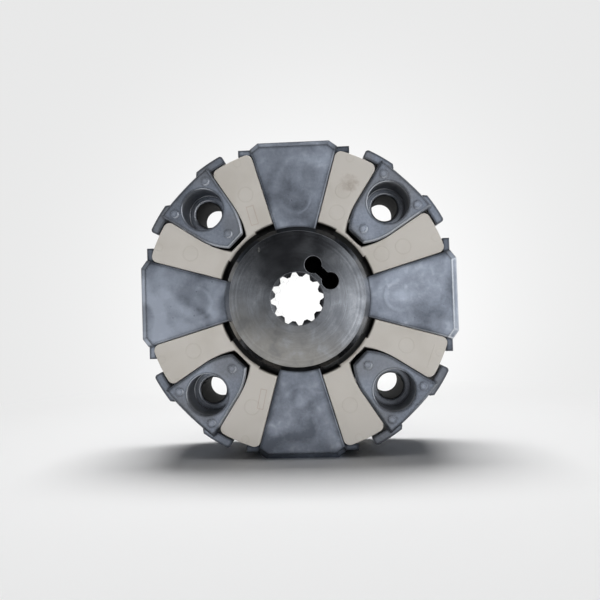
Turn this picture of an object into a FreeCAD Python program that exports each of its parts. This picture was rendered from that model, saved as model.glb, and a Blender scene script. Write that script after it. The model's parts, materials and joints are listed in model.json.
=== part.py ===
import FreeCAD
import Part
import Sketcher

import math
import os

from FreeCAD import Placement, Rotation, Vector

doc = FreeCAD.newDocument("pump_coupling")

# Driving dimensions, in millimetres and degrees

DIMENSIONS = {
    "insert_length": (50, "axial length of the cast inserts"),
    "hub_projection": (5, "hub standing proud of the inserts at each end"),
    "bolt_circle": (165, "pitch circle of the flywheel bolts"),
    "rubber_gap": (0.3, "gap between a rubber element and the metal beside it"),
    "hub_diameter": (90, "outside of the hub"),
    "hub_chamfer": (2.9, "chamfer of the hub's rim"),
    "spline_teeth": (12, "teeth of the bore"),
    "spline_pitch_radius": (15, "pitch circle of the teeth"),
    "tooth_addendum": (1, "tooth tips inside the pitch circle"),
    "tooth_dedendum": (1.4, "tooth roots outside the pitch circle"),
    "pressure_angle": (30, "slope of the tooth flanks"),
    "spline_phase": (10, "first tooth, from the vertical"),
    "spline_lead_in": (0.3, "mouth of the bore outside the tooth roots"),
    "slot_web": (1.4, "wall between the tooth roots and the slot's holes"),
    "slot_hole_diameter": (10.8, "round ends of the clamping slot"),
    "slot_spread": (18.2, "each round end from the middle of the slot"),
    "slot_width": (5.7, "straight cut between the round ends"),
    "slot_angle": (45, "middle of the slot, from the vertical"),
    "slot_floor": (15, "wall behind the slot, which is cut from the front"),
    "screw_diameter": (12, "clamp screw"),
    "screw_recess": (1.8, "clamp screw below the hub's outside"),
    "screw_socket_width": (6, "hexagon in the clamp screw, across flats"),
    "screw_socket_depth": (7, "hexagon in the clamp screw"),
    "wedge_half_angle": (16.1, "side of a radial insert from its middle"),
    "flat_height": (17.5, "outer flat of a radial insert beyond the bolt circle"),
    "flat_half_width": (22.7, "outer flat of a radial insert"),
    "shoulder_drop": (3.8, "shoulder below the outer flat"),
    "end_bevel": (3.8, "bevel between the outer flat and the end faces"),
    "tab_reach": (35.5, "tab end from the middle of the insert"),
    "end_setback": (5, "tabs and lips behind the end faces"),
    "cast_edge": (1.1, "bevels and roundings of the cast edges"),
    "bolt_diameter": (12, "radial bolt"),
    "bolt_length": (40, "radial bolt under its head"),
    "bolt_grip": (25, "wall of the radial insert under the bolt head"),
    "bolt_head_diameter": (18, "head of the radial bolt"),
    "bolt_head_height": (12, "head of the radial bolt"),
    "bolt_socket_width": (10, "hexagon in the radial bolt, across flats"),
    "bolt_socket_depth": (6, "hexagon in the radial bolt"),
    "bolt_clearance": (0.75, "hole beyond the bolt and its head"),
    "tap_runout": (3, "tapped hole beyond the bolt's end"),
    "thread_gap": (0.05, "tapped hole beyond the thread"),
    "screw_bevel": (1, "bevels on screw ends and heads"),
    "pin_diameter": (8, "roll pin"),
    "pin_wall": (1.5, "sheet of the roll pin"),
    "pin_slit": (1.6, "slit of the roll pin"),
    "pin_inset": (9, "roll pin inside the end face"),
    "pin_depth": (12, "roll pin in the hub, and in the insert"),
    "insert_half_angle": (12, "side of a flywheel insert from its middle"),
    "flank_start": (10.5, "round flank begins inside the bolt circle"),
    "flank_radius": (37, "round flank of a flywheel insert"),
    "tip_round": (1.5, "corners of the flywheel insert's tip"),
    "outer_land": (16.8, "outer face of a flywheel insert beyond the bolt circle"),
    "outer_face_radius": (200, "outer face of a flywheel insert"),
    "counterbore_diameter": (26.2, "counterbore for the flywheel bolt's head"),
    "counterbore_depth": (18.5, "counterbore for the flywheel bolt's head"),
    "bolt_hole_diameter": (17, "hole for the flywheel bolt"),
    "hole_chamfer": (1, "chamfer at the counterbore's floor"),
    "lip_thickness": (5.5, "lip outside a rubber block"),
    "lip_start": (7, "lip's root from the middle of the insert"),
    "lip_end": (18.6, "lip's free end from the middle of the insert"),
    "lip_round": (2, "rounding of the lip's free end"),
    "lip_gap": (2.3, "lip beyond the rubber"),
    "mark_diameter": (4.75, "ejector marks"),
    "mark_height": (0.4, "ejector marks above the end face"),
    "mark_inset": (4.6, "outer ejector marks inside the outer face"),
    "mark_spread": (8.6, "outer ejector marks from the middle"),
    "mark_rise": (6.7, "inner ejector mark beyond the tip"),
    "web_gap": (3.6, "rubber web outside the hub"),
    "web_thickness": (2, "rubber web at the insert's tip"),
    "web_half_angle": (14, "web from the middle of the insert"),
    "web_step": (1.5, "blocks begin outside the web"),
    "tip_gap": (2.7, "insert's tip beyond the web"),
    "pocket_flank_radius": (57.5, "round flank of the rubber pocket"),
    "block_reach": (14.2, "rubber blocks beyond the bolt circle"),
    "block_corner": (4, "outer corners of the rubber blocks"),
    "rubber_recess": (0.4, "rubber behind the inserts' end faces"),
    "overlap": (1, "how far a cut or a joined piece runs past the face it meets"),
}
QUARTERS = ("top", "right", "bottom", "left")
QUARTER_TURN = 360 / len(QUARTERS)
HEXAGON_SIDES = 6
TOUCH = 0.01

sheet = doc.addObject("Spreadsheet::Sheet", "sizes")
for row, (alias, (value, meaning)) in enumerate(DIMENSIONS.items(), start=1):
    sheet.set(f"A{row}", meaning)
    sheet.set(f"B{row}", str(value))
    sheet.setAlias(f"B{row}", alias)
doc.recompute()

# Sizes that follow from the driving ones, as expressions on the sheet

HUB_RADIUS = "sizes.hub_diameter / 2"
BOLT_CIRCLE_RADIUS = "sizes.bolt_circle / 2"
HUB_HALF_LENGTH = "(sizes.insert_length / 2 + sizes.hub_projection)"
TIP_RADIUS = "(sizes.spline_pitch_radius - sizes.tooth_addendum)"
ROOT_RADIUS = "(sizes.spline_pitch_radius + sizes.tooth_dedendum)"
MOUTH_RADIUS = f"({ROOT_RADIUS} + sizes.spline_lead_in)"
SLOT_HOLE_RADIUS = f"({ROOT_RADIUS} + sizes.slot_web + sizes.slot_hole_diameter / 2)"
SLOT_MIDDLE = f"({SLOT_HOLE_RADIUS} * cos(sizes.slot_spread))"
FLAT_RADIUS = f"({BOLT_CIRCLE_RADIUS} + sizes.flat_height)"
SHOULDER_RADIUS = f"({FLAT_RADIUS} - sizes.shoulder_drop)"
BOLT_SEAT = f"({HUB_RADIUS} + sizes.bolt_grip)"
PIN_OFFSET = "(sizes.insert_length / 2 - sizes.pin_inset)"
INSERT_OUTER = f"({BOLT_CIRCLE_RADIUS} + sizes.outer_land)"
FLANK_START = f"({BOLT_CIRCLE_RADIUS} - sizes.flank_start)"
BLOCK_OUTER = f"({BOLT_CIRCLE_RADIUS} + sizes.block_reach)"
CORNER_CENTRE = f"({BLOCK_OUTER} - sizes.block_corner)"
CORNER_ANGLE = f"asin((sizes.block_corner + sizes.rubber_gap) / {CORNER_CENTRE}) / 1 deg"
BLOCK_TOP = f"({CORNER_CENTRE} * cos(sizes.wedge_half_angle + {CORNER_ANGLE}) + sizes.block_corner)"
LIP_INNER = f"({BLOCK_OUTER} + sizes.lip_gap)"
LIP_OUTER = f"({LIP_INNER} + sizes.lip_thickness)"
WEB_INNER = f"({HUB_RADIUS} + sizes.web_gap)"
POCKET_TIP = f"({WEB_INNER} + sizes.web_thickness)"
INSERT_TIP = f"({POCKET_TIP} + sizes.tip_gap)"

# Sketches and features


def polar(radius, angle):
    """A corner at a radius, turned from the vertical."""
    return (f"({radius}) * sin({angle})", f"({radius}) * cos({angle})")


def mirrored(half, closing=()):
    """The right half of an outline and its mirror image, joined by a closing edge."""
    left = []
    for number in range(len(half) - 1, -1, -1):
        bend = half[number - 1][2:] if number else closing
        left.append((f"-({half[number][0]})", half[number][1], *bend))
    return half + left


def bent_edge(start, end, radius, side):
    """An arc between two points, which bulges to the left of the way for side 1, to the right for -1."""
    chord = end - start
    middle = (start + end) / 2
    across = Vector(-chord.y, chord.x, 0).normalize() * side
    rise = radius - math.sqrt(radius**2 - chord.Length**2 / 4)
    return Part.Arc(start, middle + across * rise, end)


def draw_outline(sketch, corners):
    """Close an outline through corners given as (x, y) or (x, y, radius of the edge after it, side)."""
    spots = [Vector(sketch.evalExpression(c[0]), sketch.evalExpression(c[1]), 0) for c in corners]
    edges = []
    for number, corner in enumerate(corners):
        start, end = spots[number], spots[(number + 1) % len(spots)]
        if len(corner) == 2:
            edge = sketch.addGeometry(Part.LineSegment(start, end))
        else:
            radius = sketch.evalExpression(corner[2])
            edge = sketch.addGeometry(bent_edge(start, end, radius, corner[3]))
        first = 1 if sketch.getPoint(edge, 1).isEqual(start, TOUCH) else 2
        edges.append((edge, first, 3 - first))
    for number, corner in enumerate(corners):
        edge, first, _ = edges[number]
        before, _, last = edges[number - 1]
        sketch.addConstraint(Sketcher.Constraint("Coincident", before, last, edge, first))
        for kind, expression, value in zip(("DistanceX", "DistanceY"), corner, spots[number]):
            drive(sketch, Sketcher.Constraint(kind, -1, 1, edge, first, value), expression)
        if len(corner) > 2:
            radius = sketch.evalExpression(corner[2])
            drive(sketch, Sketcher.Constraint("Radius", edge, radius), corner[2])


def draw_circle(sketch, centre, radius):
    """A circle whose centre and radius are expressions."""
    spot = Vector(sketch.evalExpression(centre[0]), sketch.evalExpression(centre[1]), 0)
    size = sketch.evalExpression(radius)
    edge = sketch.addGeometry(Part.Circle(spot, Vector(0, 0, 1), size))
    drive(sketch, Sketcher.Constraint("Radius", edge, size), radius)
    for kind, expression, value in zip(("DistanceX", "DistanceY"), centre, spot):
        drive(sketch, Sketcher.Constraint(kind, -1, 1, edge, 3, value), expression)


def drive(sketch, constraint, expression):
    """Add a constraint whose value follows an expression."""
    number = sketch.addConstraint(constraint)
    sketch.setExpression(f"Constraints[{number}]", expression)


def new_body(name, angle=0):
    """A body drawn with its radius upwards, then turned clockwise about the coupling's axis."""
    body = doc.addObject("PartDesign::Body", name)
    body.Label = name
    body.Placement = Placement(Vector(0, 0, 0), Rotation(Vector(0, 1, 0), angle))
    return body


def new_sketch(body, plane, height=None, turn=None):
    """A sketch on an origin plane of the body, raised above it or turned about the coupling's axis."""
    sketch = body.newObject("Sketcher::SketchObject", f"{body.Name}_sketch")
    origin_plane = next(f for f in body.Origin.OriginFeatures if f.Role == plane)
    sketch.AttachmentSupport = [(origin_plane, "")]
    sketch.MapMode = "FlatFace"
    if turn:
        sketch.AttachmentOffset = Placement(Vector(0, 0, 0), Rotation(Vector(0, 1, 0), 1))
        sketch.setExpression("AttachmentOffset.Rotation.Angle", turn)
        sketch.setExpression("AttachmentOffset.Base.x", f"({height}) * sin({turn})")
        sketch.setExpression("AttachmentOffset.Base.z", f"({height}) * cos({turn})")
    elif height:
        sketch.setExpression("AttachmentOffset.Base.z", height)
    doc.recompute()
    return sketch


def new_pad(body, sketch, length, both_ways=False):
    """A pad of the sketch, from its plane or to both sides of it."""
    pad = body.newObject("PartDesign::Pad", f"{body.Name}_pad")
    pad.Profile = sketch
    pad.SideType = "Symmetric" if both_ways else "One side"
    pad.setExpression("Length", length)
    doc.recompute()
    return pad


def new_pocket(body, sketch, length=None, upwards=False):
    """A pocket that cuts below its sketch, above it, or through everything on both sides."""
    volume = body.Shape.Volume
    pocket = body.newObject("PartDesign::Pocket", f"{body.Name}_pocket")
    pocket.Profile = sketch
    pocket.Reversed = upwards
    if length:
        pocket.setExpression("Length", length)
    else:
        pocket.Type = "ThroughAll"
        pocket.SideType = "Symmetric"
    doc.recompute()
    if body.Shape.Volume >= volume:
        raise RuntimeError(f"{pocket.Name} cuts nothing")
    return pocket


def new_revolution(body, sketch, axis):
    """A full turn of the sketch about one of its own axes."""
    revolution = body.newObject("PartDesign::Revolution", f"{body.Name}_revolution")
    revolution.Profile = sketch
    revolution.ReferenceAxis = (sketch, [axis])
    revolution.Angle = 360
    doc.recompute()
    return revolution


def new_pattern(body, features, count):
    """The features repeated round the coupling's axis."""
    pattern = body.newObject("PartDesign::PolarPattern", f"{body.Name}_pattern")
    pattern.Originals = features
    axis = next(f for f in body.Origin.OriginFeatures if f.Role == "Y_Axis")
    pattern.Axis = (axis, [""])
    pattern.Angle = 360
    pattern.setExpression("Occurrences", count)
    body.Tip = pattern
    doc.recompute()
    return pattern


def dress_edges(body, kind, size, wanted):
    """A fillet or chamfer on the edges of the body's last feature that a test picks."""
    base = body.Tip
    names = [f"Edge{n}" for n, edge in enumerate(base.Shape.Edges, start=1) if wanted(edge)]
    feature = body.newObject(f"PartDesign::{kind}", f"{body.Name}_{kind.lower()}")
    feature.Base = (base, names)
    feature.setExpression("Radius" if kind == "Fillet" else "Size", size)
    doc.recompute()
    return feature


def measure(expression):
    """The value that an expression on the sheet has now."""
    return sheet.evalExpression(expression.replace("sizes.", ""))


def lies_at(edge, **place):
    """Whether a whole edge lies at the x, y or z given, on either side."""
    box = edge.BoundBox
    for axis, value in place.items():
        low, high = getattr(box, f"{axis.upper()}Min"), getattr(box, f"{axis.upper()}Max")
        if abs(abs(low) - value) > TOUCH or high - low > TOUCH:
            return False
    return True


# Hub: a turned steel ring with a splined bore


def build_hub():
    body = new_body("hub")
    profile = new_sketch(body, "XY_Plane")
    lead_in = f"({HUB_HALF_LENGTH} - ({MOUTH_RADIUS} - {TIP_RADIUS}))"
    rim = f"({HUB_HALF_LENGTH} - sizes.hub_chamfer)"
    front = [
        (TIP_RADIUS, lead_in),
        (MOUTH_RADIUS, HUB_HALF_LENGTH),
        (f"{HUB_RADIUS} - sizes.hub_chamfer", HUB_HALF_LENGTH),
        (HUB_RADIUS, rim),
    ]
    back = [(radius, f"-({along})") for radius, along in reversed(front)]
    draw_outline(profile, front + back)
    new_revolution(body, profile, "V_Axis")

    # Spaces between the teeth, with straight flanks at the pressure angle
    space = new_sketch(body, "XZ_Plane")
    pitch = "180 / sizes.spline_teeth"
    half_space = f"sizes.spline_pitch_radius * sin({pitch} / 2)"
    slope = "tan(sizes.pressure_angle)"
    bottom_half = f"({half_space} - sizes.tooth_dedendum * {slope})"
    inside = f"({TIP_RADIUS} - sizes.overlap)"
    mouth_half = f"({half_space} + (sizes.tooth_addendum + sizes.overlap) * {slope})"
    turn = f"(sizes.spline_phase + {pitch})"

    def turned(across, up):
        return (
            f"({across}) * cos({turn}) + ({up}) * sin({turn})",
            f"({up}) * cos({turn}) - ({across}) * sin({turn})",
        )

    root_up = f"sqrt({ROOT_RADIUS} ^ 2 - {bottom_half} ^ 2)"
    draw_outline(
        space,
        [
            turned(f"-{mouth_half}", inside),
            (*turned(f"-{bottom_half}", root_up), ROOT_RADIUS, 1),
            turned(bottom_half, root_up),
            turned(mouth_half, inside),
        ],
    )
    cut = new_pocket(body, space)
    new_pattern(body, [cut], "sizes.spline_teeth")

    # Clamping slot: two deep holes joined by a straight cut
    slot_depth = f"2 * {HUB_HALF_LENGTH} - sizes.slot_floor"
    holes = new_sketch(body, "XZ_Plane", HUB_HALF_LENGTH)
    for side in ("-", "+"):
        centre = polar(SLOT_HOLE_RADIUS, f"sizes.slot_angle {side} sizes.slot_spread")
        draw_circle(holes, centre, "sizes.slot_hole_diameter / 2")
    new_pocket(body, holes, slot_depth)
    cut = new_sketch(body, "XZ_Plane", HUB_HALF_LENGTH)
    corners = []
    for across, up in ((-1, -1), (-1, 1), (1, 1), (1, -1)):
        x = f"{across} * {SLOT_HOLE_RADIUS} * sin(sizes.slot_spread)"
        y = f"{SLOT_MIDDLE} + {up} * sizes.slot_width / 2"
        corners.append(
            (
                f"({x}) * cos(sizes.slot_angle) + ({y}) * sin(sizes.slot_angle)",
                f"({y}) * cos(sizes.slot_angle) - ({x}) * sin(sizes.slot_angle)",
            )
        )
    draw_outline(cut, corners)
    new_pocket(body, cut, slot_depth)

    # Tapped hole for the clamp screw, from the slot out to the hub's outside
    tapped = new_sketch(body, "XY_Plane", SLOT_MIDDLE, "sizes.slot_angle")
    draw_circle(tapped, ("0", "0"), "sizes.screw_diameter / 2 + sizes.thread_gap")
    new_pocket(body, tapped, HUB_RADIUS, upwards=True)

    # Tapped holes for the radial bolts, each between two pin holes
    bolt_end = f"{BOLT_SEAT} - sizes.bolt_length - sizes.tap_runout"
    tapped = new_sketch(body, "XY_Plane", bolt_end)
    draw_circle(tapped, ("0", "0"), "sizes.bolt_diameter / 2 + sizes.thread_gap")
    bolt_hole = new_pocket(body, tapped, HUB_RADIUS, upwards=True)
    pins = new_sketch(body, "XY_Plane", f"{HUB_RADIUS} - sizes.pin_depth")
    for side in ("-", "+"):
        draw_circle(pins, ("0", f"{side}{PIN_OFFSET}"), "sizes.pin_diameter / 2")
    pin_holes = new_pocket(body, pins, HUB_RADIUS, upwards=True)
    new_pattern(body, [bolt_hole, pin_holes], str(len(QUARTERS)))
    return body


# Screws: turned about their own length, with a hexagon socket


def hexagon(sketch, width):
    """A hexagon across the given flats."""
    corner = f"({width}) / 2 / cos(180 / {HEXAGON_SIDES})"
    step = 360 / HEXAGON_SIDES
    draw_outline(sketch, [polar(corner, str(step * n)) for n in range(HEXAGON_SIDES)])


def build_clamp_screw():
    body = new_body("clamp_screw", measure("sizes.slot_angle"))
    low = f"({SLOT_MIDDLE} - sizes.slot_width / 2)"
    high = f"({HUB_RADIUS} - sizes.screw_recess)"
    radius = "sizes.screw_diameter / 2"
    profile = new_sketch(body, "XZ_Plane")
    draw_outline(
        profile,
        [
            ("0", low),
            (f"{radius} - 2 * sizes.screw_bevel", low),
            (radius, f"{low} + 2 * sizes.screw_bevel"),
            (radius, f"{high} - sizes.screw_bevel"),
            (f"{radius} - sizes.screw_bevel", high),
            ("0", high),
        ],
    )
    new_revolution(body, profile, "V_Axis")
    socket = new_sketch(body, "XY_Plane", high)
    hexagon(socket, "sizes.screw_socket_width")
    new_pocket(body, socket, "sizes.screw_socket_depth")
    return body


def build_radial_bolt(name, angle):
    body = new_body(name, angle)
    end = f"({BOLT_SEAT} - sizes.bolt_length)"
    top = f"({BOLT_SEAT} + sizes.bolt_head_height)"
    radius = "sizes.bolt_diameter / 2"
    head = "sizes.bolt_head_diameter / 2"
    profile = new_sketch(body, "XZ_Plane")
    draw_outline(
        profile,
        [
            ("0", end),
            (f"{radius} - sizes.screw_bevel", end),
            (radius, f"{end} + sizes.screw_bevel"),
            (radius, BOLT_SEAT),
            (head, BOLT_SEAT),
            (head, f"{top} - sizes.screw_bevel"),
            (f"{head} - sizes.screw_bevel", top),
            ("0", top),
        ],
    )
    new_revolution(body, profile, "V_Axis")
    socket = new_sketch(body, "XY_Plane", top)
    hexagon(socket, "sizes.bolt_socket_width")
    new_pocket(body, socket, "sizes.bolt_socket_depth")
    return body


# Roll pins: spring steel sheet rolled to a slit tube


def build_roll_pin(name, angle, along):
    body = new_body(name, angle)
    section = new_sketch(body, "XY_Plane", f"{HUB_RADIUS} - sizes.pin_depth")
    section.setExpression("AttachmentOffset.Base.y", f"{along} * {PIN_OFFSET}")
    outer = "(sizes.pin_diameter / 2)"
    inner = f"({outer} - sizes.pin_wall)"
    half_slit = "(sizes.pin_slit / 2)"

    def beside_slit(radius, sign):
        return (f"{sign}{half_slit}", f"sqrt({radius} ^ 2 - {half_slit} ^ 2)")

    draw_outline(
        section,
        [
            (*beside_slit(outer, ""), outer, 1),
            ("0", f"-{outer}", outer, 1),
            beside_slit(outer, "-"),
            (*beside_slit(inner, "-"), inner, -1),
            ("0", f"-{inner}", inner, -1),
            beside_slit(inner, ""),
        ],
    )
    new_pad(body, section, "2 * sizes.pin_depth")
    return body


# Radial inserts: cast wedges that sit on the hub, one at each quarter


def build_radial_insert(name, angle):
    body = new_body(name, angle)
    outline = new_sketch(body, "XZ_Plane")
    half = [
        polar(HUB_RADIUS, "sizes.wedge_half_angle"),
        (f"{SHOULDER_RADIUS} * tan(sizes.wedge_half_angle)", SHOULDER_RADIUS),
        ("sizes.flat_half_width", FLAT_RADIUS),
    ]
    draw_outline(outline, mirrored(half, (HUB_RADIUS, 1)))
    new_pad(body, outline, "sizes.insert_length", both_ways=True)

    # Bevel round the outer end, and rounded side edges
    end_face = measure("sizes.insert_length / 2")
    shoulder = measure(SHOULDER_RADIUS)
    dress_edges(
        body,
        "Chamfer",
        "sizes.end_bevel",
        lambda edge: lies_at(edge, y=end_face) and edge.BoundBox.ZMin > shoulder - TOUCH,
    )
    seat = measure(f"{HUB_RADIUS} * cos(sizes.wedge_half_angle)")
    dress_edges(
        body,
        "Fillet",
        "sizes.cast_edge",
        lambda edge: lies_at(edge, y=end_face)
        and abs(edge.BoundBox.ZMin - seat) < TOUCH
        and edge.BoundBox.XMin * edge.BoundBox.XMax > 0,
    )

    # Tabs beside the shoulders, over the ends of the rubber blocks
    tabs = new_sketch(body, "XZ_Plane")
    for sign in ("", "-"):
        root = f"{sign}(sizes.flat_half_width)"
        reach = f"{sign}(sizes.tab_reach)"
        bottom = f"{BLOCK_TOP} + sizes.rubber_gap"
        draw_outline(
            tabs,
            [(root, bottom), (reach, bottom), (reach, SHOULDER_RADIUS), (root, SHOULDER_RADIUS)],
        )
    new_pad(body, tabs, "sizes.insert_length - 2 * sizes.end_setback", both_ways=True)

    # Bolt hole with its counterbore, and blind pin holes in the seat
    head_hole = new_sketch(body, "XY_Plane", BOLT_SEAT)
    draw_circle(head_hole, ("0", "0"), "sizes.bolt_head_diameter / 2 + sizes.bolt_clearance")
    new_pocket(body, head_hole, FLAT_RADIUS, upwards=True)
    shank_hole = new_sketch(body, "XY_Plane", BOLT_SEAT)
    draw_circle(shank_hole, ("0", "0"), "sizes.bolt_diameter / 2 + sizes.bolt_clearance")
    new_pocket(body, shank_hole, BOLT_SEAT)
    pins = new_sketch(body, "XY_Plane", f"{HUB_RADIUS} + sizes.pin_depth")
    for side in ("-", "+"):
        draw_circle(pins, ("0", f"{side}{PIN_OFFSET}"), "sizes.pin_diameter / 2")
    new_pocket(body, pins, HUB_RADIUS)
    return body


# Flywheel inserts: cast rounded triangles between the wedges, bolted to the flywheel


def flank_points(tip, radius, offset):
    """Tip corner and flank start of a triangle whose sides are moved out by an offset."""
    angle = "sizes.insert_half_angle"
    start_x = f"({FLANK_START} * sin({angle}) + {offset} * cos({angle}))"
    start_y = f"({FLANK_START} * cos({angle}) - {offset} * sin({angle}))"
    centre_x = f"({start_x} - {radius} * cos({angle}))"
    centre_y = f"({start_y} + {radius} * sin({angle}))"
    tip_x = f"({centre_x} + sqrt({radius} ^ 2 - ({centre_y} - {tip}) ^ 2))"
    return (tip_x, tip), (start_x, start_y)


def build_flywheel_insert(name, angle):
    body = new_body(name, angle)
    outline = new_sketch(body, "XZ_Plane")
    radius = "sizes.flank_radius"
    tip, flank = flank_points(INSERT_TIP, radius, "0")
    outer = (f"{INSERT_OUTER} * tan(sizes.insert_half_angle)", INSERT_OUTER)
    half = [(*tip, radius, -1), flank, (*outer, "sizes.outer_face_radius", -1)]
    draw_outline(outline, mirrored(half))
    new_pad(body, outline, "sizes.insert_length", both_ways=True)
    tip_height = measure(INSERT_TIP)
    dress_edges(
        body,
        "Fillet",
        "sizes.tip_round",
        lambda edge: lies_at(edge, z=tip_height) and edge.BoundBox.XLength < TOUCH,
    )
    end_face = measure("sizes.insert_length / 2")
    dress_edges(body, "Chamfer", "sizes.cast_edge", lambda edge: lies_at(edge, y=end_face))

    # Lips over the outer ends of the rubber blocks
    lips = new_sketch(body, "XZ_Plane")
    round_angle = f"sizes.lip_round / {LIP_OUTER} * 180 / pi"
    root = f"({LIP_INNER} - sizes.overlap)"
    for sign, side in (("", 1), ("-", -1)):
        corners = [
            (*polar(LIP_OUTER, f"sizes.lip_start + {round_angle}"), LIP_OUTER, side),
            (*polar(LIP_OUTER, f"sizes.lip_end - {round_angle}"), "sizes.lip_round", side),
            polar(f"{LIP_OUTER} - sizes.lip_round", "sizes.lip_end"),
            (*polar(LIP_INNER, "sizes.lip_end"), LIP_INNER, -side),
            polar(LIP_INNER, "sizes.insert_half_angle"),
            polar(root, "sizes.lip_start"),
            polar(f"{LIP_OUTER} - sizes.lip_round", "sizes.lip_start"),
        ]
        draw_outline(lips, [(f"{sign}({c[0]})", *c[1:]) for c in corners])
    new_pad(body, lips, "sizes.insert_length - 2 * sizes.end_setback", both_ways=True)

    # Bolt hole, counterbored from the front
    front = new_sketch(body, "XZ_Plane", "sizes.insert_length / 2")
    draw_circle(front, ("0", BOLT_CIRCLE_RADIUS), "sizes.counterbore_diameter / 2")
    new_pocket(body, front, "sizes.counterbore_depth")
    through = new_sketch(body, "XZ_Plane")
    draw_circle(through, ("0", BOLT_CIRCLE_RADIUS), "sizes.bolt_hole_diameter / 2")
    new_pocket(body, through)
    floor = measure("sizes.insert_length / 2 - sizes.counterbore_depth")
    bolt_circle = measure(BOLT_CIRCLE_RADIUS)
    hole_size = measure("sizes.bolt_hole_diameter")
    dress_edges(
        body,
        "Chamfer",
        "sizes.hole_chamfer",
        lambda edge: lies_at(edge, y=floor)
        and abs(edge.BoundBox.ZLength - hole_size) < TOUCH
        and abs(edge.BoundBox.Center.z - bolt_circle) < TOUCH,
    )

    # Ejector marks, standing a little above the front face
    marks = new_sketch(body, "XZ_Plane", "sizes.insert_length / 2")
    outer_marks = f"({INSERT_OUTER} - sizes.mark_inset)"
    centres = [
        polar(outer_marks, "-sizes.mark_spread"),
        polar(outer_marks, "sizes.mark_spread"),
        ("0", f"{INSERT_TIP} + sizes.mark_rise"),
    ]
    for centre in centres:
        draw_circle(marks, centre, "sizes.mark_diameter / 2")
    new_pad(body, marks, "sizes.mark_height")
    return body


# Rubber elements: two blocks joined by a thin web round the tip of a flywheel insert


def build_element(name, angle):
    body = new_body(name, angle)
    outline = new_sketch(body, "XZ_Plane")
    radius = "sizes.pocket_flank_radius"
    gap = "sizes.rubber_gap"
    wedge_side = f"({QUARTER_TURN} / 2 - sizes.wedge_half_angle)"
    tip, flank = flank_points(POCKET_TIP, radius, gap)
    block_inner = f"({WEB_INNER} + sizes.web_step)"
    web_edge = "sizes.web_half_angle"

    def gap_angle(distance):
        return f"asin({gap} / {distance}) / 1 deg"

    half = [
        polar(WEB_INNER, web_edge),
        (*polar(block_inner, web_edge), block_inner, 1),
        polar(block_inner, f"{wedge_side} - {gap_angle(block_inner)}"),
        (*polar(BLOCK_OUTER, f"{wedge_side} - {gap_angle(BLOCK_OUTER)}"), BLOCK_OUTER, -1),
        polar(BLOCK_OUTER, f"sizes.insert_half_angle + {gap_angle(BLOCK_OUTER)}"),
        (*flank, radius, 1),
        tip,
    ]
    draw_outline(outline, mirrored(half, (WEB_INNER, 1)))
    new_pad(body, outline, "sizes.insert_length - 2 * sizes.rubber_recess", both_ways=True)
    outer = measure(BLOCK_OUTER)
    half_length = measure("sizes.insert_length / 2 - sizes.rubber_recess")
    dress_edges(
        body,
        "Fillet",
        "sizes.block_corner",
        lambda edge: abs(edge.BoundBox.YLength - 2 * half_length) < TOUCH
        and abs(math.hypot(edge.BoundBox.XMin, edge.BoundBox.ZMin) - outer) < TOUCH,
    )
    return body


# The whole coupling

parts = [build_hub(), build_clamp_screw()]
for count, quarter in enumerate(QUARTERS):
    angle = QUARTER_TURN * count
    parts.append(build_radial_insert(f"radial_insert_{quarter}", angle))
    parts.append(build_radial_bolt(f"radial_bolt_{quarter}", angle))
    parts.append(build_roll_pin(f"roll_pin_{quarter}_front", angle, -1))
    parts.append(build_roll_pin(f"roll_pin_{quarter}_rear", angle, 1))
for count in range(len(QUARTERS)):
    angle = QUARTER_TURN * (count + 0.5)
    parts.append(build_flywheel_insert(f"flywheel_insert_{count + 1}", angle))
    parts.append(build_element(f"element_{count + 1}", angle))
doc.recompute()

# Every object and shape is checked before anything is written

for item in doc.Objects:
    if {"Invalid", "Error"} & set(item.State):
        raise RuntimeError(f"{item.Name} failed: {item.State}")
for part in parts:
    if part.Shape.isNull() or not part.Shape.isValid() or len(part.Shape.Solids) != 1:
        raise RuntimeError(f"{part.Label} is not one valid solid")

os.makedirs("parts", exist_ok=True)
for part in parts:
    part.Shape.exportStep(f"parts/{part.Label}.step")
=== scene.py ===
"""Flexible pump coupling, dressed in its finishes and stood on a pale studio floor."""

import json
import math

import bpy
import numpy as np
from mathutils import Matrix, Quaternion, Vector

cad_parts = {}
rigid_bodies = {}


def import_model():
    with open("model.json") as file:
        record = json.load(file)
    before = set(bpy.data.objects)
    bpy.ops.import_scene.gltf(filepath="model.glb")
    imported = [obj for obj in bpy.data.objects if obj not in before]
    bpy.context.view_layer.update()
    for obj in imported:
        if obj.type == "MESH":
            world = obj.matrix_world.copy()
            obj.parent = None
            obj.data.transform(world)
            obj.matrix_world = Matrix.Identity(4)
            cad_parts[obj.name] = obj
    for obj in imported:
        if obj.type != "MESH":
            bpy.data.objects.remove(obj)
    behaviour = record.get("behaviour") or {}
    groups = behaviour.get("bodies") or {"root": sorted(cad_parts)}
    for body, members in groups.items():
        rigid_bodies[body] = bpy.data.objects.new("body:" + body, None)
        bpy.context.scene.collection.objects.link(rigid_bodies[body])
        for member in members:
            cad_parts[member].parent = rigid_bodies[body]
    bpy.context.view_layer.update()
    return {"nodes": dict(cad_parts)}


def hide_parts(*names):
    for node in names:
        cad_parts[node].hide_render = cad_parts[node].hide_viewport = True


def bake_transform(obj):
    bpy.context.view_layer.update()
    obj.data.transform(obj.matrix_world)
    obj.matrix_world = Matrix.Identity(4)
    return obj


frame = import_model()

# Hub: a steel ring turned on a lathe, with a broached spline bore and a slot that lets it clamp the shaft.
# The fine grooves of the turning tool run round the axis, so light spreads across them in a fan.

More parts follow.
